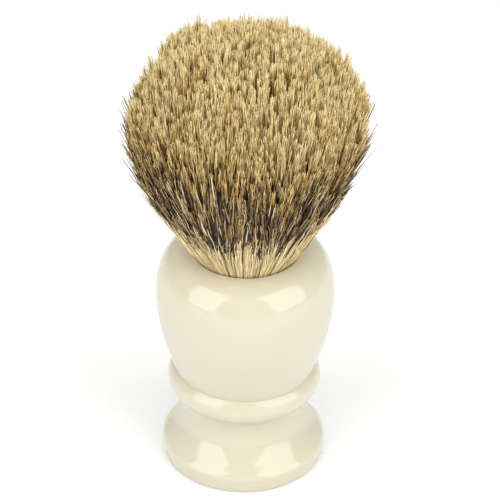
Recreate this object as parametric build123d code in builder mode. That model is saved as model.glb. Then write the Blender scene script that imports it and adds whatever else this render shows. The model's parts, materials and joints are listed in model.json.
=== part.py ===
"""Shaving brush: a turned resin handle with a glued knot of bristle hair.

The brush stands on its foot. +Z runs up the axis to the tips of the hair, and the
origin is the centre of the foot's underside. Every piece is turned about Z. Sizes
are millimetres.
"""

from build123d import *
from math import hypot, sqrt
import os

# Overall: a 22 mm knot with 50 mm of free hair
knot_radius = 11.0  # mouth of the socket
loft = 50.0  # free length of the hair above the rim
rim_height = 51.5  # top of the handle

# Foot and neck of the handle
base_radius = 16.9
base_edge_round = 0.8
foot_radius = 17.35
foot_widest = 3.5  # height where the foot is widest
foot_crown = 1.9  # how fast the foot's top turns inwards
neck_radius = 12.4
neck_height = 13.0
neck_sweep = 7.3  # how long the cove runs into the neck
neck_reach = 2.4  # how far the neck stays slim below the bead

# Bead between the neck and the grip
bead_radius = 16.2
bead_height = 19.7
bead_section = 3.5  # radius of the bead's round section
bead_root_height = 16.4  # where the neck meets the bead's underside
bead_ease = 0.5  # how far the neck runs level into the bead
crease_radius = 14.8  # bottom of the V between bead and grip

# Grip and rim of the handle
grip_radius = 18.75
grip_widest = 40.6
grip_flare = (1.7, 5.2)  # direction in which the grip leaves the crease
grip_belly = 7.0  # how far the grip stays full below its widest
shoulder = 6.8  # and above it
shoulder_run = 4.9  # how far the shoulder runs level into the rim
rim_round = 0.6

# Shallow recess turned into the underside, and the disc stuck in it
recess_radius = 12.0
recess_depth = 0.6
disc_radius = 11.4
disc_thickness = 0.25

# Socket, glue and the knot's root
socket_depth = 15.0
glue_bed = 0.8
glue_wall = 0.25
plug_height = 8.0
plug_chamfer = 0.5
plug_rim = 1.2  # plain rim of the plug above the thread
thread_radius = 0.4
thread_turns = 4
thread_pitch = 0.86
thread_groove = 0.85  # depth of the waist that the thread pulls into the roots
thread_clearance = 0.01  # between the thread and the bottom of the waist

# Hair
bloom_radius = 24.35  # widest part of the hair
bloom_height = 80.7  # height where the hair is widest
flank_rise = 9.9  # spacing of the flank's two shape points in height
flank_radius = 17.2  # the lower shape point's radius
dome_fullness = 0.62  # 0.55 is a true ellipse, more is squarer
mouth_gap = 0.55  # between the hair and the rim
layer_gap = 0.3  # between one length of hair and the next
side_pivot = 63.0  # the hair leans sideways about this height
front_pivot = 75.0  # the upper hair leans to front and back about this one
split_height = 59.8  # where the lower hair ends at its flank
split_radius = 16.4

socket_floor = rim_height - socket_depth
bore_top = rim_height - rim_round
plug_radius = knot_radius - glue_wall
plug_base = socket_floor + glue_bed
plug_top = plug_base + plug_height
mouth_hair_radius = knot_radius - mouth_gap
tip_height = rim_height + loft
cup_radius = hypot(plug_radius, side_pivot - bore_top)
split_cup_radius = hypot(split_radius, front_pivot - split_height)


def write(part, name):
    part.label = name
    export_step(part, f"parts/{name}.step")


os.makedirs("parts", exist_ok=True)

# ---------------------------------------------------------------- handle
# One turned solid: foot, cove, neck, bead, grip and rim, with the knot's socket bored
# from the top and a shallow recess in the underside. The foot's side is an arc that
# stands upright at its widest, and the bead is an arc about its own centre.
foot_bulge = foot_radius - base_radius
foot_arc_radius = (foot_bulge**2 + foot_widest**2) / (2 * foot_bulge)
foot_arc_centre = foot_radius - foot_arc_radius
foot_arc_middle = foot_arc_centre + sqrt(foot_arc_radius**2 - (foot_widest / 2) ** 2)
bead_centre = bead_radius - bead_section
crease_height = bead_height + sqrt(bead_section**2 - (crease_radius - bead_centre) ** 2)
bead_root = bead_centre + sqrt(bead_section**2 - (bead_height - bead_root_height) ** 2)

with BuildPart() as handle_body:
    with BuildSketch(Plane.XZ):
        with BuildLine():
            Polyline(
                (0, recess_depth),
                (recess_radius, recess_depth),
                (recess_radius, 0),
                (base_radius, 0),
            )
            ThreePointArc((base_radius, 0), (foot_arc_middle, foot_widest / 2), (foot_radius, foot_widest))
            Bezier(
                (foot_radius, foot_widest),
                (foot_radius, foot_widest + foot_crown),
                (neck_radius, neck_height - neck_sweep),
                (neck_radius, neck_height),
            )
            Bezier(
                (neck_radius, neck_height),
                (neck_radius, neck_height + neck_reach),
                (bead_root - bead_ease, bead_root_height),
                (bead_root, bead_root_height),
            )
            ThreePointArc(
                (bead_root, bead_root_height),
                (bead_radius, bead_height),
                (crease_radius, crease_height),
            )
            Bezier(
                (crease_radius, crease_height),
                (crease_radius + grip_flare[0], crease_height + grip_flare[1]),
                (grip_radius, grip_widest - grip_belly),
                (grip_radius, grip_widest),
            )
            Bezier(
                (grip_radius, grip_widest),
                (grip_radius, grip_widest + shoulder),
                (knot_radius + rim_round + shoulder_run, rim_height),
                (knot_radius + rim_round, rim_height),
            )
            RadiusArc((knot_radius + rim_round, rim_height), (knot_radius, bore_top), -rim_round)
            Polyline(
                (knot_radius, bore_top),
                (knot_radius, socket_floor),
                (0, socket_floor),
                (0, recess_depth),
            )
        make_face()
    revolve(axis=Axis.Z)
    base_circles = handle_body.edges().filter_by(GeomType.CIRCLE).group_by(Axis.Z)[0]
    base_edge = base_circles.sort_by(SortBy.RADIUS)[-1]
    fillet(base_edge, base_edge_round)
write(handle_body.part, "handle_body")

# ---------------------------------------------------------------- disc in the base
with BuildPart() as base_label:
    with BuildSketch(Plane.XY.offset(recess_depth - disc_thickness)):
        Circle(disc_radius)
    extrude(amount=disc_thickness)
write(base_label.part, "base_label")

# ---------------------------------------------------------------- glue in the socket
# A thin cup: a bed on the socket's floor and a sleeve round the plug.
with BuildPart() as socket_adhesive:
    with BuildSketch(Plane.XY.offset(socket_floor)):
        Circle(knot_radius)
    extrude(amount=plug_top - socket_floor)
    with BuildSketch(Plane.XY.offset(plug_base)):
        Circle(plug_radius)
    extrude(amount=plug_height, mode=Mode.SUBTRACT)
write(socket_adhesive.part, "socket_adhesive")

# ---------------------------------------------------------------- plug of the knot
# The roots set hard in glue, with the waist that the thread pulls into them.
thread_span = thread_turns * thread_pitch
thread_top = plug_top - plug_rim
thread_base = thread_top - thread_span

with BuildPart() as knot_plug:
    with BuildSketch(Plane.XY.offset(plug_base)):
        Circle(plug_radius)
    extrude(amount=plug_height)
    chamfer(knot_plug.edges().group_by(Axis.Z)[0], plug_chamfer)
    with BuildSketch(Plane.XY.offset(thread_base)):
        Circle(plug_radius)
        Circle(plug_radius - thread_groove, mode=Mode.SUBTRACT)
    extrude(amount=thread_span, mode=Mode.SUBTRACT)
write(knot_plug.part, "knot_plug")

# ---------------------------------------------------------------- thread round the roots
# Turns laid side by side in the waist.
with BuildPart() as root_binding:
    for turn in range(thread_turns):
        with Locations((0, 0, thread_base + (turn + 0.5) * thread_pitch)):
            Torus(plug_radius - thread_groove + thread_clearance + thread_radius, thread_radius)
write(root_binding.part, "root_binding")

# ---------------------------------------------------------------- hair
# The whole hair is one turned outline: a column in the socket, a flank that flares from
# the mouth and a full dome. It is cut into three lengths by spheres about the two points
# that it leans about, so that each length turns in the cup of the one below.
with BuildSketch(Plane.XZ) as hair_outline:
    with BuildLine():
        Polyline(
            (0, tip_height),
            (0, plug_top),
            (mouth_hair_radius, plug_top),
            (mouth_hair_radius, bore_top),
        )
        Bezier(
            (mouth_hair_radius, bore_top),
            (flank_radius, bore_top + flank_rise),
            (bloom_radius, bloom_height - flank_rise),
            (bloom_radius, bloom_height),
        )
        Bezier(
            (bloom_radius, bloom_height),
            (bloom_radius, bloom_height + dome_fullness * (tip_height - bloom_height)),
            (dome_fullness * bloom_radius, tip_height),
            (0, tip_height),
        )
    make_face()

# Hair inside the socket, fixed, with a hollow top.
with BuildPart() as hair_root:
    with BuildSketch(Plane.XY.offset(plug_top)):
        Circle(plug_radius)
    extrude(amount=bore_top - plug_top)
    with Locations((0, 0, side_pivot)):
        Sphere(cup_radius, mode=Mode.SUBTRACT)
write(hair_root.part, "hair_root")

# The first stretch above the rim: round underneath, hollow on top.
with BuildPart() as hair_lower:
    with BuildSketch(Plane.XZ):
        with Locations((0, side_pivot)):
            Circle(cup_radius - layer_gap)
        add(hair_outline.sketch, mode=Mode.INTERSECT)
        with Locations((0, front_pivot)):
            Circle(split_cup_radius + layer_gap, mode=Mode.SUBTRACT)
    revolve(axis=Axis.Z)
write(hair_lower.part, "hair_lower")

# The rest of the flank and the dome, round underneath.
with BuildSketch(Plane.XZ) as below_upper:
    with Locations((0, split_height)):
        Rectangle(2 * bloom_radius, loft, align=(Align.CENTER, Align.MAX))
    with Locations((0, front_pivot)):
        Circle(split_cup_radius, mode=Mode.SUBTRACT)

with BuildPart() as hair_upper:
    with BuildSketch(Plane.XZ):
        add(hair_outline.sketch)
        add(below_upper.sketch, mode=Mode.SUBTRACT)
    revolve(axis=Axis.Z)
write(hair_upper.part, "hair_upper")
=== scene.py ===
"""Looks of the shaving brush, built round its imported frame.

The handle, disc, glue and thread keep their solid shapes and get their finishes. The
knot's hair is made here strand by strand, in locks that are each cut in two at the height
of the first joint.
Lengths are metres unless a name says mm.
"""

import json
import math

import bpy
import numpy as np
from bpy.props import FloatProperty, FloatVectorProperty, IntProperty, PointerProperty
from mathutils import Euler, Matrix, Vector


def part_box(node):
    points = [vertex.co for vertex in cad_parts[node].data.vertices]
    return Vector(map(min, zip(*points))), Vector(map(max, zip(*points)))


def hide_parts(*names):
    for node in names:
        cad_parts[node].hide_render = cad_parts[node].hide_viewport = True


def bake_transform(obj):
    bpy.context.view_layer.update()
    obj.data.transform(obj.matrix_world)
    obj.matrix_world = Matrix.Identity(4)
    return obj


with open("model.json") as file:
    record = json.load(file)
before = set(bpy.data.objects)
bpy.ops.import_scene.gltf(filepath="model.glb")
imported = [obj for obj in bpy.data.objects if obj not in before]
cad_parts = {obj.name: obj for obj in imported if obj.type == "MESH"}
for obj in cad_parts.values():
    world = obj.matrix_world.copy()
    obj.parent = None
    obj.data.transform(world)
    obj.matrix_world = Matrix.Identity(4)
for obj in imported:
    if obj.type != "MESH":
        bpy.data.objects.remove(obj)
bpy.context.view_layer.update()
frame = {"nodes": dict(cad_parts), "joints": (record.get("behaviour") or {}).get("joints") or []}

bl_info = {
    "name": "Shaving Brush",
    "version": (1, 0, 0),
    "blender": (4, 5, 0),
    "location": "View3D > Sidebar > Brush",
    "description": "Finishes a shaving brush's turned handle and grows its knot of hair",
    "category": "Object",
}

MM = 0.001
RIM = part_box("handle_body")[1].z
PLUG_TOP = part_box("knot_plug")[1].z
HAIR_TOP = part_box("hair_upper")[1].z
HAIR_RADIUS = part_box("hair_upper")[1].x
HAIR_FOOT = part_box("hair_root")[1].x - 0.05 * MM  # radius of the hair where it stands in the socket
PIVOTS = {joint["name"]: joint["pos_m"][2] for joint in frame["joints"]}
SPLIT = PIVOTS["lean_sideways"]  # height of the seam between the lower and the upper pieces of hair
MOUTH = 0.6 * MM  # how far below the rim the hair starts to spread


# ---------------------------------------------------------------- settings
def colour(name, description, default):
    """A linear RGB colour property."""
    return FloatVectorProperty(
        name=name, description=description, default=default, subtype="COLOR", size=3, min=0, max=1
    )


class HandleSettings(bpy.types.PropertyGroup):
    """Finish of the turned handle and of the disc under it."""

    resin: colour("Resin", "Body colour of the cast resin", (0.552, 0.524, 0.402))
    resin_deep: colour("Deep resin", "Warmer clouds in the resin", (0.550, 0.498, 0.350))
    roughness: FloatProperty(
        name="Roughness", description="Mean roughness of the polished resin", default=0.08,
        subtype="FACTOR", min=0, max=1,
    )
    card: colour("Card", "Colour of the disc in the base", (0.72, 0.67, 0.55))


class RootSettings(bpy.types.PropertyGroup):
    """Finish of what holds the knot in the socket."""

    glue: colour("Glue", "Set glue of the plug and the socket", (0.30, 0.17, 0.06))
    thread: colour("Thread", "Waxed thread round the roots", (0.66, 0.58, 0.42))


class HairSettings(bpy.types.PropertyGroup):
    """Numbers, sizes and colours of the knot's hair."""

    seed: IntProperty(name="Seed", description="Start of the random draws", default=7, min=0)
    locks: IntProperty(
        name="Locks", description="Sectors that the knot is divided into", default=6, min=1
    )
    tufts: IntProperty(
        name="Tufts", description="Small pointed tufts of the knot", default=3500, min=10
    )
    hairs: IntProperty(name="Hairs", description="Hairs of the knot", default=31000, min=10)
    thickness: FloatProperty(
        name="Thickness", description="Radius of a strand", default=0.11 * MM, unit="LENGTH",
        min=0.01 * MM,
    )
    widest: FloatProperty(
        name="Widest", description="Height of the widest place as a share of the free length",
        default=0.584, subtype="FACTOR", min=0, max=1,
    )
    inset: FloatProperty(
        name="Inset", description="How far the mean tips stay inside the outline's widest radius",
        default=0.75 * MM, unit="LENGTH", min=0,
    )
    lopsided: FloatProperty(
        name="Lopsided", description="How much slimmer the flank is on the +X side", default=0.05,
        subtype="FACTOR", min=0, max=1,
    )
    flare: FloatProperty(
        name="Flare", description="How early the flank opens out", default=1.6, min=1
    )
    fan: FloatProperty(
        name="Fan", description="How soon the hairs stop spreading", default=2.2, min=1
    )
    dome: FloatProperty(
        name="Dome", description="Squareness of the dome, 2 is an ellipse", default=2.15, min=1
    )
    tip: colour("Tip", "Tips of the hair", (0.770, 0.650, 0.345))
    gold: colour("Gold", "Just below the tips", (0.590, 0.370, 0.090))
    brown: colour("Brown", "Edges of the dark band", (0.205, 0.118, 0.050))
    dark: colour("Dark", "Middle of the dark band", (0.022, 0.015, 0.010))
    pale: colour("Pale", "Roots, and odd pale hairs in the band", (0.980, 0.840, 0.510))


class StageSettings(bpy.types.PropertyGroup):
    """Camera, floor and lights."""

    distance: FloatProperty(
        name="Distance", description="Camera to the pivot on the brush's axis", default=0.608,
        unit="LENGTH",
    )
    pivot: FloatProperty(
        name="Pivot", description="Height on the axis that distance and elevation are taken from",
        default=0.060, unit="LENGTH",
    )
    elevation: FloatProperty(
        name="Elevation", description="Camera above the level", default=math.radians(33.34),
        subtype="ANGLE",
    )
    target: FloatVectorProperty(
        name="Target", description="Point that the camera looks at", default=(0.00085, 0, 0.0508),
        unit="LENGTH", size=3,
    )
    roll: FloatProperty(
        name="Roll", description="Turn of the camera about its own line",
        default=math.radians(0.88), subtype="ANGLE",
    )
    lens: FloatProperty(
        name="Lens", description="Focal length in millimetres", default=213.0, min=1
    )
    sky: FloatProperty(name="Sky", description="Strength of the white world", default=0.5, min=0)
    glow: FloatProperty(
        name="Floor glow", description="Light that the floor gives off itself", default=0.05, min=0
    )
    floor: colour("Floor", "Pale floor", (0.80, 0.80, 0.80))
    floor_reach: FloatProperty(
        name="Floor reach", description="From the middle of the floor to its sides", default=3.0,
        unit="LENGTH",
    )


# ---------------------------------------------------------------- shader helpers
class Value:
    """A node socket that adds Math nodes when it is used in a sum."""

    def __init__(self, shader, socket):
        self.shader = shader
        self.socket = socket

    def math(self, operation, first, second=0.0):
        """A Math node's result."""
        return self.shader.node("ShaderNodeMath", {"operation": operation}, {0: first, 1: second})

    def __add__(self, other):
        return self.math("ADD", self, other)

    def __sub__(self, other):
        return self.math("SUBTRACT", self, other)

    def __mul__(self, other):
        return self.math("MULTIPLY", self, other)

    def __rsub__(self, other):
        return self.math("SUBTRACT", other, self)

    __radd__ = __add__
    __rmul__ = __mul__


class Shader:
    """A material's node tree with one Principled shader."""

    def __init__(self, name, **constants):
        self.material = bpy.data.materials.new(name)
        self.material.use_nodes = True
        self.tree = self.material.node_tree
        self.principled = self.tree.nodes["Principled BSDF"]
        for socket, value in constants.items():
            self.feed(self.principled, socket.replace("_", " "), value)

    def feed(self, node, socket, value):
        """Links or sets one input of a node."""
        target = node.inputs[socket]
        if isinstance(value, Value):
            self.tree.links.new(value.socket, target)
        elif hasattr(value, "__len__") and len(target.default_value) == 4 and len(value) == 3:
            target.default_value = (*value, 1)
        else:
            target.default_value = value

    def node(self, kind, settings=None, inputs=None, output=0):
        """Adds a node, sets its settings and then its inputs, and wraps one of its outputs."""
        node = self.tree.nodes.new(kind)
        for name, value in (settings or {}).items():
            if name == "stops":
                self.set_stops(node.color_ramp, value)
            else:
                setattr(node, name, value)
        for socket, value in (inputs or {}).items():
            self.feed(node, socket, value)
        return Value(self, node.outputs[output])

    @staticmethod
    def set_stops(ramp, stops):
        """Gives a colour ramp its stops, each a place and a grey level."""
        while len(ramp.elements) < len(stops):
            ramp.elements.new(1)
        for element, (place, level) in zip(ramp.elements, stops):
            element.position = place
            element.color = (level, level, level, 1)

    def mix(self, factor, first, second):
        """A colour between two others."""
        inputs = {"Factor": factor, 6: first, 7: second}
        return self.node("ShaderNodeMix", {"data_type": "RGBA"}, inputs, output=2)

    def place(self):
        """Object coordinates."""
        return self.node("ShaderNodeTexCoord", output="Object")

    def along(self, axis):
        """One of the Object coordinates, X, Y or Z."""
        return self.node("ShaderNodeSeparateXYZ", inputs={0: self.place()}, output=axis)

    def noise(self, scale, detail):
        """Cloudy noise, so many features to the metre."""
        return self.node(
            "ShaderNodeTexNoise", inputs={"Vector": self.place(), "Scale": scale, "Detail": detail}
        )

    def ramp(self, factor, stops):
        """A colour ramp through grey stops."""
        return self.node("ShaderNodeValToRGB", {"stops": stops}, {"Fac": factor})

    def bump(self, height, distance):
        """A normal from a height, with the distance in metres that a height of 1 stands for."""
        return self.node("ShaderNodeBump", inputs={"Height": height, "Distance": distance})

    def finish(self, **sockets):
        """Feeds the shader's own inputs and gives the material back."""
        for socket, value in sockets.items():
            self.feed(self.principled, socket.replace("_", " "), value)
        return self.material


def dress(node, material):
    """Gives a node of the frame one material."""
    piece = frame["nodes"][node]
    for slot in piece.material_slots:
        slot.link = "OBJECT"
        slot.material = material


# ---------------------------------------------------------------- handle
def resin_material(settings):
    """Polished cast resin: faint clouds of a warmer tone, turning marks and a little hand haze."""
    shader = Shader(
        "handle_resin", IOR=1.5, Subsurface_Weight=0.3, Subsurface_Scale=0.004,
        Coat_Weight=0.3, Coat_Roughness=0.03,
    )
    clouds = shader.ramp(shader.noise(38.0, 4.0), [(0.35, 0), (0.75, 1)])
    haze = shader.noise(120.0, 2.0)
    rings = shader.along("Z") * 14000.0
    marks = rings.math("SINE", rings) * 0.3 + shader.noise(2500.0, 2.0)
    return shader.finish(
        Base_Color=shader.mix(clouds * 0.35, settings.resin, settings.resin_deep),
        Roughness=settings.roughness + (haze - 0.5) * 0.06,
        Normal=shader.bump(marks, 0.0012 * MM),
    )


def card_material(settings):
    """Plain matt card with a fibre tooth."""
    shader = Shader("label_card", Roughness=0.85)
    fibre = shader.noise(1800.0, 5.0)
    return shader.finish(
        Base_Color=shader.mix(fibre, settings.card, tuple(0.85 * c for c in settings.card)),
        Normal=shader.bump(fibre, 0.03 * MM),
    )


class BRUSH_OT_handle(bpy.types.Operator):
    """Polish the turned handle and give the disc in its base its card"""

    bl_idname = "brush.handle"
    bl_label = "Handle"

    def execute(self, context):
        settings = context.scene.brush_handle
        dress("handle_body", resin_material(settings))
        dress("base_label", card_material(settings))
        return {"FINISHED"}


# ---------------------------------------------------------------- knot's root
def glue_material(settings):
    """Set amber glue with clouds and small bubbles."""
    shader = Shader("set_glue", IOR=1.5)
    clouds = shader.noise(350.0, 4.0)
    cells = {"Vector": shader.place(), "Scale": 1500.0}
    bubbles = shader.node("ShaderNodeTexVoronoi", inputs=cells)
    return shader.finish(
        Base_Color=shader.mix(clouds, settings.glue, tuple(0.55 * c for c in settings.glue)),
        Roughness=clouds * 0.2 + 0.25,
        Normal=shader.bump(bubbles, 0.05 * MM),
    )


def thread_material(settings):
    """Waxed thread: slanting twist lines round the turns, sin(150 * angle round Z + 9000 * z)."""
    shader = Shader("waxed_thread", Roughness=0.55)
    y = shader.along("Y")
    angle = y.math("ARCTAN2", y, shader.along("X"))
    slant = angle * 150.0 + shader.along("Z") * 9000.0
    strand = slant.math("SINE", slant) * 0.5 + 0.5
    fibre = shader.noise(2200.0, 4.0)
    return shader.finish(
        Base_Color=shader.mix(
            strand * 0.5 + fibre * 0.5, tuple(0.6 * c for c in settings.thread), settings.thread
        ),
        Normal=shader.bump(strand, 0.06 * MM),
    )


class BRUSH_OT_root(bpy.types.Operator):
    """Give the glue, the plug and the thread inside the socket their finishes"""

    bl_idname = "brush.root"
    bl_label = "Knot root"

    def execute(self, context):
        settings = context.scene.brush_root
        glue = glue_material(settings)
        dress("socket_adhesive", glue)
        dress("knot_plug", glue)
        dress("root_binding", thread_material(settings))
        return {"FINISHED"}


# ---------------------------------------------------------------- hair
GOLDEN_ANGLE = math.pi * (3 - math.sqrt(5))
SKIN_FROM = 0.86  # share from which hairs belong to the knot's skin
LAYERS = (("core", 4, 6, 2.0), ("skin", 7, 8, 1.4))  # name, lower rings, upper rings, gathering
SEAM = 0.4 * MM  # least distance of a ring from the split and from its neighbour
SHORTEST = SPLIT + 2 * MM  # lowest height of a tip
WALL = 0.995  # largest share
TABLE_FROM, TABLE_STEPS = 7 * MM, 400  # heights at which the mean tips are looked up

# Tufts. A spacing is the mean distance between them, with the socket's radius as 1.
TUFT_SCATTER = 0.32  # spacings from the even pattern to a tuft's middle
TUFT_WIDTH = 0.42  # spacings from there to its hairs
OWN_PLACE = 0.4  # weight of a hair's own place in its share, the rest is its tuft's

# Lengths and leans of hairs, in millimetres
SWELL = 0.45  # slow waves over the dome
CONE = 1.0  # how much shorter a tuft's outer hairs are
UNEVEN = 0.55  # between the hairs of one tuft
TUFT_LIFT = (0.1, 0.8)  # mean and spread of what a tuft stands out by
SUNK_TUFTS, SUNK = 0.03, (2, 5)  # share of tufts that are shorter, and by how much
OVERSHOOT = 0.8  # highest tips above the solid knot
STUBBLE = 5  # lowest tips above the rim
TUFT_LEAN, DRIFT, HAIR_LEAN = 0.55, 0.8, 0.25  # of tufts, of whole areas and of single hairs
STRAYS, STRAY_FROM, STRAY_REACH = 0.04, 20, (0.5, 2.4)  # share, lowest height and reach
STRAY_SKIN = 0.85  # share from which a hair can stray
LEAN_CURVE, STRAY_CURVE = 2.5, 2  # powers of the height by which hairs lean and stray
RIPPLE, FAST_RIPPLE = 0.15, 0.6  # waves along a hair, and the fast ones against the slow ones
RIPPLES = ((520, 1130), (560, 1010))  # slow and fast in X and in Y, radians to the metre

# Path and thickness. Depths are millimetres below the tip.
EARLY_PULL, TIP_PULL, PULL_DEPTH = 0.15, 0.52, 7  # how far hairs are drawn to their tuft's middle
THICKNESS = (0.75, 1.2)  # range between hairs
ROOT_SLIM, SLIM_HEIGHT = 0.72, 10  # thinner root, and where hairs are full
TIP_BLUNT, TIP_DEPTH = 0.45, 5  # thickness left at the tip, and how deep the taper starts
CORE_BODY = (0.9, 3, 7)  # extra of inner strands, from which depth, over which depth

# Colours. Heights are millimetres above the rim, depths millimetres below the tip, and tones
# run from 0, the cream tip, to 1, the dark band. A kind is a random number from 0 to 1.
SHADES, PALES = 14, 4  # materials along the tones, and pale ones
SHADE_PLACES = (0.0, 0.38, 0.68, 1.0)  # tones of tip, gold, brown and dark
PALE_STEP, PALE_WARM = 0.13, 0.04  # each pale material is darker by so much, and warmer
HAIR_TONE, TUFT_TONE, SWELL_TONE = 0.10, 0.06, 0.08  # spreads of the tone
BAND_MIX = 0.7  # weight of a hair's own number and of its tuft's in the band's edges
BAND_TILT = (1.5, 0.5)  # how the band's top sinks towards +X and +Y
ROOT_END, ROOT_SPREAD, ROOT_SIDES = 10.8, 3.0, 3.0  # top of the pale root, more at the sides
SEAM_CLEAR, SEAM_SHIFT = 0.8, 1.6  # root ends this near the split move up, so no line shows there
BAND_TOP, BAND_SPREAD, BAND_FADE = 25.0, 3.0, 8.0  # top of the dark band
LATE_KINDS, LATE = (0.28, 0.42), 8.0  # hairs whose band ends later
BAND_SHARES = (0.5, 0.35)  # the band shows from this share, fully after so much more
GOLDEN, GOLD_DEPTH, GOLD_SPREAD, GOLD_FADE = 0.38, 0.3, 0.4, 5.0  # gold below the tip
BROWN_MORE, BROWN_DEPTH, BROWN_FADE = 0.18, 5, 8  # and browner lower down
BLACK, LIT_TIP, LIT_DEPTH, LIT_FADE, DARK_KIND = 0.97, 0.50, 0.8, 4.0, 0.75  # band and its tips
STRAY_KIND, ODD_KIND, ODD_TONE = 0.98, 0.94, 0.72  # odd dark hairs, strays among them
BROWN_KIND, BROWN_ROOT, BROWN_SPREAD = 0.85, 0.45, 0.25  # roots that are brown, not pale
BROWN_RANGE = (0.1, 0.8)
PALE_KIND, PALE_TOP, PALE_SPREAD = 0.26, 26, 3  # hairs that stay pale up to a height


def smooth(value):
    """0 below 0, 1 above 1, and a smooth S between."""
    t = np.clip(value, 0, 1)
    return t * t * (3 - 2 * t)


def outline(height, settings):
    """Radius of the knot at a height. Up to the widest place
    r = root + (bloom - root) * (1 - (1 - t) ** flare), t from 0 at the rim to 1 there; above it a
    superellipse, r = bloom * (1 - s ** dome) ** (1 / dome), s from 0 there to 1 at the top."""
    widest = RIM + settings.widest * (HAIR_TOP - RIM)
    bloom = HAIR_RADIUS - settings.inset
    t = np.clip((height - RIM + MOUTH) / (widest - RIM + MOUTH), 0, 1)
    flank = HAIR_FOOT + (bloom - HAIR_FOOT) * (1 - (1 - t) ** settings.flare)
    s = np.clip((height - widest) / (HAIR_TOP - widest), 0, 1)
    return np.where(height < widest, flank, bloom * (1 - s**settings.dome) ** (1 / settings.dome))


def spread(height, settings):
    """Radius at a height of a hair that starts at the rim of the socket,
    r = root + steep * span / fan * (1 - (1 - t) ** fan), t = height above the mouth / span. It
    leaves the root as steeply as the outline does but bends less, so that it ends on the outline
    from inside."""
    widest = RIM + settings.widest * (HAIR_TOP - RIM)
    span = 2.0 * (widest - RIM)
    steep = (HAIR_RADIUS - settings.inset - HAIR_FOOT) * settings.flare / (widest - RIM)
    t = np.clip((height - RIM + MOUTH) / span, 0, 1)
    return HAIR_FOOT + steep * span / settings.fan * (1 - (1 - t) ** settings.fan)


def shade_palette(settings):
    """The hair's materials, from cream tips through gold and brown to the dark band, and then
    pale ones, each a little darker and warmer than the one before."""
    stops = [settings.tip, settings.gold, settings.brown, settings.dark]
    materials = []
    for i in range(SHADES):
        at = i / (SHADES - 1)
        tone = [np.interp(at, SHADE_PLACES, [stop[c] for stop in stops]) for c in range(3)]
        shader = Shader(f"hair_shade_{i:02d}", Roughness=0.45 + 0.1 * at, Specular_IOR_Level=0.3)
        materials.append(shader.finish(Base_Color=tone))
    for i in range(PALES):
        darker = 1 - PALE_STEP * i
        tone = [
            c * darker * (1 - PALE_WARM * i * channel) for channel, c in enumerate(settings.pale)
        ]
        shader = Shader(f"hair_pale_{i}", Roughness=0.45, Specular_IOR_Level=0.35)
        materials.append(shader.finish(Base_Color=tone))
    return materials


def tube_mesh(name, path, radius, turn, shade, materials):
    """Closed three-sided tubes. path is (strands, rings, 3), radius and turn are (strands, rings)
    and (strands,), and shade is a material for each stretch between rings. Each ring stands
    square to the path: corner j is path + radius * (cos(a) * side + sin(a) * up),
    a = turn + 120 j degrees. The walls are shaded smooth and the end caps flat."""
    count, rings = path.shape[:2]
    along = np.gradient(path, axis=1)
    along /= np.linalg.norm(along, axis=2, keepdims=True) + 1e-12
    side = np.cross(along, np.array([0.31, 0.95, 0.05]))  # a level direction that no hair runs in
    side /= np.linalg.norm(side, axis=2, keepdims=True) + 1e-12
    up = np.cross(along, side)
    angle = turn[:, None] + np.arange(3) * (2 * math.pi / 3)
    cos, sin = np.cos(angle)[:, None, :, None], np.sin(angle)[:, None, :, None]
    outward = cos * side[:, :, None] + sin * up[:, :, None]
    corners = path[:, :, None] + radius[:, :, None, None] * outward
    index = np.arange(count * rings * 3).reshape(count, rings, 3)
    low, high = index[:, :-1], index[:, 1:]
    walls = np.stack([low, np.roll(low, -1, 2), np.roll(high, -1, 2), high], -1)
    halves = np.stack([walls[..., [0, 1, 2]], walls[..., [0, 2, 3]]], -2).reshape(-1, 3)
    faces = np.concatenate([halves, index[:, 0, ::-1], index[:, -1]])
    slots = np.concatenate([np.repeat(shade.reshape(-1), 6), shade[:, 0], shade[:, -1]])
    mesh = bpy.data.meshes.new(name)
    mesh.vertices.add(corners.size // 3)
    mesh.vertices.foreach_set("co", corners.astype(np.float32).ravel())
    mesh.loops.add(faces.size)
    mesh.loops.foreach_set("vertex_index", faces.astype(np.int32).ravel())
    mesh.polygons.add(len(faces))
    mesh.polygons.foreach_set("loop_start", np.arange(0, faces.size, 3, dtype=np.int32))
    mesh.polygons.foreach_set("use_smooth", np.arange(len(faces)) < len(halves))
    for material in materials:
        mesh.materials.append(material)
    mesh.polygons.foreach_set("material_index", slots.astype(np.int32))
    mesh.update(calc_edges=True)
    mesh.validate()
    piece = bpy.data.objects.new(name, mesh)
    bpy.context.scene.collection.objects.link(piece)
    return piece


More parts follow.
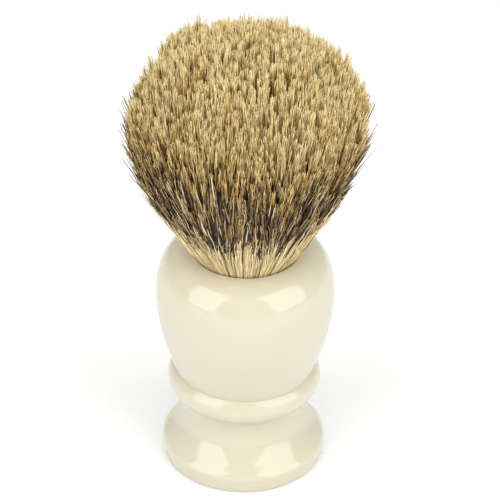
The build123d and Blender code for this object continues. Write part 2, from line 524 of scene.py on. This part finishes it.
class Knot:
    """Where each hair stands and how it runs. Arrays hold one value per hair. A hair's share is
    its place in the socket, 0 on the axis and 1 at the wall."""

    def __init__(self, settings, rng):
        self.settings = settings
        count, tufts = settings.hairs, settings.tufts
        spacing = math.sqrt(math.pi / tufts)
        order = np.arange(tufts)
        angle = order * GOLDEN_ANGLE
        centre = np.stack([np.cos(angle), np.sin(angle)], -1)
        centre *= np.sqrt((order + 0.5) / tufts)[:, None]
        centre += rng.normal(0, TUFT_SCATTER * spacing, centre.shape)
        member = rng.integers(0, tufts, count)
        offset = rng.normal(0, TUFT_WIDTH * spacing, (count, 2))
        self.foot = self.inside(centre[member] + offset)
        self.centre = self.inside(centre)[member]
        place = self.foot * OWN_PLACE + self.centre * (1 - OWN_PLACE)
        self.share = np.linalg.norm(place, axis=1)

        # The mean tip is where a hair of this share meets the outline.
        heights = np.linspace(RIM + TABLE_FROM, HAIR_TOP, TABLE_STEPS)
        shares = outline(heights, settings) / spread(heights, settings)
        tip = np.interp(self.share, shares[::-1], heights[::-1])
        x, y = self.centre.T
        swell = np.sin(9 * x + 2.1) * np.sin(8 * y + 0.7) + 0.6 * np.sin(17 * x - 6 * y)
        drop = CONE * (np.linalg.norm(offset, axis=1) / spacing) ** 2
        drop = drop + np.abs(rng.normal(0, UNEVEN, count))
        sunk = np.where(rng.random(tufts) < SUNK_TUFTS, rng.uniform(*SUNK, tufts), 0)
        lift = (rng.normal(*TUFT_LIFT, tufts) - sunk)[member]
        self.tip = np.minimum(tip + (lift + SWELL * swell - drop) * MM, HAIR_TOP + OVERSHOOT * MM)
        self.tip = np.maximum(self.tip, RIM + STUBBLE * MM)

        lean = rng.normal(0, TUFT_LEAN, (tufts, 2))[member]
        drift = np.stack([np.sin(9 * x + 4 * y + 0.4), np.sin(8 * y - 5 * x + 1.3)], -1)
        self.lean = (lean + DRIFT * drift + rng.normal(0, HAIR_LEAN, (count, 2))) * MM
        outer = (self.tip > RIM + STRAY_FROM * MM) & (self.share > STRAY_SKIN)
        stray = outer & (rng.random(count) < STRAYS)
        self.loose = np.where(stray, rng.uniform(*STRAY_REACH, count), 0) * MM
        self.turn = rng.uniform(0, 2 * math.pi, count)
        self.thick = settings.thickness * rng.uniform(*THICKNESS, count)
        self.wave = rng.uniform(0, 2 * math.pi, (count, 4))
        self.tone = rng.normal(0, HAIR_TONE, count) + rng.normal(0, TUFT_TONE, tufts)[member]
        self.tone = self.tone + SWELL_TONE * swell
        own = rng.normal(0, 1, (count, 3))
        self.band = own * BAND_MIX + rng.normal(0, 1, (tufts, 3))[member] * BAND_MIX
        self.band[:, 1] -= BAND_TILT[0] * x + BAND_TILT[1] * y
        self.kind = np.where(stray, STRAY_KIND, rng.random(count))
        self.edge = RIM + (ROOT_END + ROOT_SPREAD * self.band[:, 0] + ROOT_SIDES * x**2) * MM
        self.edge[np.abs(self.edge - SPLIT) < SEAM_CLEAR * MM] += SEAM_SHIFT * MM
        self.tip = SHORTEST + np.abs(self.tip - SHORTEST)

    @staticmethod
    def inside(place):
        """Keeps places within the socket."""
        share = np.linalg.norm(place, axis=1, keepdims=True)
        return place * np.minimum(1, WALL / np.maximum(share, 1e-9))

    def near(self, which, height):
        """Millimetres below the hair's own tip."""
        return (self.tip[which, None] - height) / MM

    def path(self, which, height):
        """Points of hairs at heights: share times the spread, drawn to the tuft's middle towards
        the tip, with the tuft's lean and a slow wave."""
        rise = np.clip((height - RIM) / (self.tip[which, None] - RIM), 0, 1)
        gathered = smooth(1 - self.near(which, height) / PULL_DEPTH)
        pull = (EARLY_PULL * smooth(rise * 2) + TIP_PULL * gathered)[..., None]
        share = self.foot[which, None] * (1 - pull) + self.centre[which, None] * pull
        flat = share * spread(height, self.settings)[..., None]
        flank = np.clip((height - RIM) / (self.settings.widest * (HAIR_TOP - RIM)), 0, 1)
        flat[..., 0] *= 1 - self.settings.lopsided * np.sin(math.pi * flank) * (share[..., 0] > 0)
        wave = self.wave[which].T[..., None]
        waves = [
            np.sin(height * slow + wave[2 * axis])
            + FAST_RIPPLE * np.sin(height * fast + wave[2 * axis + 1])
            for axis, (slow, fast) in enumerate(RIPPLES)
        ]
        ripple = np.stack(waves, -1)
        out = self.foot[which] / (np.linalg.norm(self.foot[which], axis=1, keepdims=True) + 1e-9)
        flat = flat + ripple * (RIPPLE * MM * smooth(rise * 3))[..., None]
        flat = flat + self.lean[which, None] * (rise**LEAN_CURVE)[..., None]
        flat = flat + (out * self.loose[which, None])[:, None] * (rise**STRAY_CURVE)[..., None]
        return np.concatenate([flat, height[..., None]], -1)

    def radius(self, which, height):
        """Full from the root, thinning to a point at the tip; strands inside the knot, seen only
        at their tips, stand for several hairs lower down."""
        near = self.near(which, height)
        extra, start, run = CORE_BODY
        body = 1 + extra * smooth((near - start) / run) * (self.share[which, None] < SKIN_FROM)
        slim = ROOT_SLIM + (1 - ROOT_SLIM) * smooth((height - RIM) / (SLIM_HEIGHT * MM))
        taper = TIP_BLUNT + (1 - TIP_BLUNT) * smooth(near / TIP_DEPTH)
        return slim * self.thick[which, None] * taper * body

    def shade(self, which, height):
        """Material number of each stretch between heights: a pale root, a dark band between two
        heights above the rim, and above it brown, gold and cream by the distance below the tip."""
        middle = (height[:, 1:] + height[:, :-1]) / 2
        above = (middle - RIM) / MM
        near = self.near(which, middle)
        band = self.band[which].T[..., None]
        kind = self.kind[which, None]
        late = np.where((kind > LATE_KINDS[0]) & (kind < LATE_KINDS[1]), LATE, 0.0)
        high = 1 - smooth((above - BAND_TOP - BAND_SPREAD * band[1] - late) / BAND_FADE)
        high = high * smooth((self.share[which, None] - BAND_SHARES[0]) / BAND_SHARES[1])
        warm = GOLDEN * smooth((near - GOLD_DEPTH - GOLD_SPREAD * band[2]) / GOLD_FADE)
        warm = warm + BROWN_MORE * smooth((near - BROWN_DEPTH) / BROWN_FADE)
        lit = (1 - smooth((near - LIT_DEPTH) / LIT_FADE)) * (kind < DARK_KIND)
        level = high * (BLACK - LIT_TIP * lit) + (1 - high) * warm + self.tone[which, None]
        level = np.where(kind > ODD_KIND, np.maximum(level, ODD_TONE), level)
        number = np.rint(np.clip(level, 0, 1) * (SHADES - 1)).astype(int)
        pale = SHADES + (which % PALES)[:, None]
        brown = np.clip(BROWN_ROOT + BROWN_SPREAD * band[2], *BROWN_RANGE)
        brown = np.rint(brown * (SHADES - 1)).astype(int)
        root = middle < self.edge[which, None]
        number = np.where(root, np.where(kind > BROWN_KIND, brown, pale), number)
        stays_pale = (kind < PALE_KIND) & (above < PALE_TOP + PALE_SPREAD * band[1])
        return np.where(stays_pale, pale, number)


def lock(name, knot, which, heights, materials):
    """One piece of hair between the given heights."""
    piece = tube_mesh(
        name, knot.path(which, heights), knot.radius(which, heights), knot.turn[which],
        knot.shade(which, heights), materials,
    )
    return piece


class BRUSH_OT_hair(bpy.types.Operator):
    """Grow the knot's hair in locks, each a lower piece to the first bend and an upper one above"""

    bl_idname = "brush.hair"
    bl_label = "Hair"

    def execute(self, context):
        settings = context.scene.brush_hair
        knot = Knot(settings, np.random.default_rng(settings.seed))
        materials = shade_palette(settings)
        angle = np.arctan2(knot.foot[:, 1], knot.foot[:, 0]) % (2 * math.pi)
        part = (angle / (2 * math.pi) * settings.locks).astype(int) % settings.locks
        skin = knot.share >= SKIN_FROM
        for i in range(settings.locks):
            for layer, low_rings, high_rings, gather in LAYERS:
                which = np.flatnonzero((part == i) & (skin == (layer == "skin")))
                edge = knot.edge[which]
                # One ring stands where the hair's pale root ends, in whichever piece that is.
                lower = np.tile(np.linspace(PLUG_TOP, SPLIT, low_rings), (len(which), 1))
                lower[:, -2] = np.clip(edge, lower[:, -3] + SEAM, SPLIT - SEAM)
                piece = lock(f"hair_{layer}_lower_{i + 1}", knot, which, lower, materials)
                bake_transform(piece)
                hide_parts("hair_root", "hair_lower")
                steps = 1 - (1 - np.linspace(0, 1, high_rings)) ** gather
                upper = SPLIT + (knot.tip[which, None] - SPLIT) * steps
                late = edge > SPLIT + SEAM
                upper[late, 1] = np.minimum(edge[late], upper[late, 2] - SEAM)
                piece = lock(f"hair_{layer}_upper_{i + 1}", knot, which, upper, materials)
                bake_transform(piece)
                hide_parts("hair_upper")
        return {"FINISHED"}


# ---------------------------------------------------------------- stage
LIGHT_AIM = 0.05  # height on the axis that the lights point at
SENSOR = 36.0  # width of the camera's sensor in millimetres
# name, azimuth, elevation, distance, width, height, watts, whether it shows in reflections
LIGHTS = (
    ("key_left", math.radians(-55), math.radians(28), 0.55, 0.42, 0.62, 2.0, True),
    ("key_right", math.radians(58), math.radians(29), 0.55, 0.50, 0.60, 2.2, True),
    ("fill", 0.0, math.radians(48), 0.8, 0.9, 0.5, 2.6, False),
    ("top", math.radians(180), math.radians(78), 0.7, 0.6, 0.6, 1.6, False),
)


def soft_box(name, azimuth, elevation, distance, width, height, power, glossy):
    """A rectangular area light that points at the axis; azimuth is from the front towards +X."""
    data = bpy.data.lights.new(name, "AREA")
    data.shape = "RECTANGLE"
    data.size, data.size_y = width, height
    data.energy = power
    lamp = bpy.data.objects.new(name, data)
    bpy.context.scene.collection.objects.link(lamp)
    level = distance * math.cos(elevation)
    rise = LIGHT_AIM + distance * math.sin(elevation)
    lamp.location = (level * math.sin(azimuth), -level * math.cos(azimuth), rise)
    lamp.rotation_euler = (math.pi / 2 - elevation, 0, azimuth)
    lamp.visible_glossy = glossy


def place_camera(scene, settings):
    """The scene's camera, in front of the brush and above it, turned to its target."""
    data = bpy.data.cameras.new("camera")
    data.lens = settings.lens
    data.sensor_width = SENSOR
    camera = bpy.data.objects.new("camera", data)
    scene.collection.objects.link(camera)
    level = settings.distance * math.cos(settings.elevation)
    height = settings.pivot + settings.distance * math.sin(settings.elevation)
    x, y, z = np.array(settings.target) - np.array([0.0, -level, height])
    look = Euler((math.pi / 2 + math.atan2(z, math.hypot(x, y)), 0, math.atan2(-x, y))).to_matrix()
    camera.rotation_mode = "QUATERNION"
    camera.matrix_world = (look @ Matrix.Rotation(settings.roll, 3, "Z")).to_4x4()
    camera.location = (0.0, -level, height)
    scene.camera = camera


def floor_mesh(settings):
    """One square of pale paper with a faint tooth."""
    white = (1.0, 1.0, 1.0)
    shader = Shader(
        "floor_paper", Roughness=0.9, Emission_Color=white, Emission_Strength=settings.glow
    )
    tooth = shader.noise(900.0, 3.0)
    dimmer = tuple(0.99 * c for c in settings.floor)
    corners = settings.floor_reach * np.array([[-1, -1, 0], [1, -1, 0], [1, 1, 0], [-1, 1, 0]])
    mesh = bpy.data.meshes.new("floor")
    mesh.from_pydata(corners.tolist(), [], [(0, 1, 2, 3)])
    mesh.materials.append(shader.finish(Base_Color=shader.mix(tooth, settings.floor, dimmer)))
    return mesh


class BRUSH_OT_stage(bpy.types.Operator):
    """Set the camera, the pale floor and the soft lights"""

    bl_idname = "brush.stage"
    bl_label = "Stage"

    def execute(self, context):
        scene = context.scene
        settings = scene.brush_stage
        place_camera(scene, settings)
        world = bpy.data.worlds.new("studio")
        world.use_nodes = True
        background = world.node_tree.nodes["Background"]
        background.inputs["Color"].default_value = (1, 1, 1, 1)
        background.inputs["Strength"].default_value = settings.sky
        scene.world = world
        scene.view_settings.view_transform = "Standard"
        floor = bpy.data.objects.new("floor", floor_mesh(settings))
        scene.collection.objects.link(floor)
        for light in LIGHTS:
            soft_box(*light)
        return {"FINISHED"}


class BRUSH_PT_panel(bpy.types.Panel):
    """Lists the brush's pieces and their settings"""

    bl_label = "Shaving Brush"
    bl_idname = "BRUSH_PT_panel"
    bl_space_type = "VIEW_3D"
    bl_region_type = "UI"
    bl_category = "Brush"

    def draw(self, context):
        for operator, group in OPERATORS.items():
            settings = getattr(context.scene, group)
            box = self.layout.box()
            box.operator(operator.bl_idname)
            for name in settings.__annotations__:
                box.prop(settings, name)


GROUPS = {
    "brush_handle": HandleSettings,
    "brush_root": RootSettings,
    "brush_hair": HairSettings,
    "brush_stage": StageSettings,
}
OPERATORS = {
    BRUSH_OT_handle: "brush_handle",
    BRUSH_OT_root: "brush_root",
    BRUSH_OT_hair: "brush_hair",
    BRUSH_OT_stage: "brush_stage",
}
CLASSES = (*GROUPS.values(), *OPERATORS, BRUSH_PT_panel)


def register():
    """Adds the classes, and their settings to the scene."""
    for kind in CLASSES:
        bpy.utils.register_class(kind)
    for name, group in GROUPS.items():
        setattr(bpy.types.Scene, name, PointerProperty(type=group))


def unregister():
    """Takes away what register added."""
    for name in GROUPS:
        delattr(bpy.types.Scene, name)
    for kind in reversed(CLASSES):
        bpy.utils.unregister_class(kind)


def main():
    """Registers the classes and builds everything."""
    register()
    bpy.ops.brush.stage()
    bpy.ops.brush.handle()
    bpy.ops.brush.root()
    bpy.ops.brush.hair()


if __name__ == "__main__":
    main()
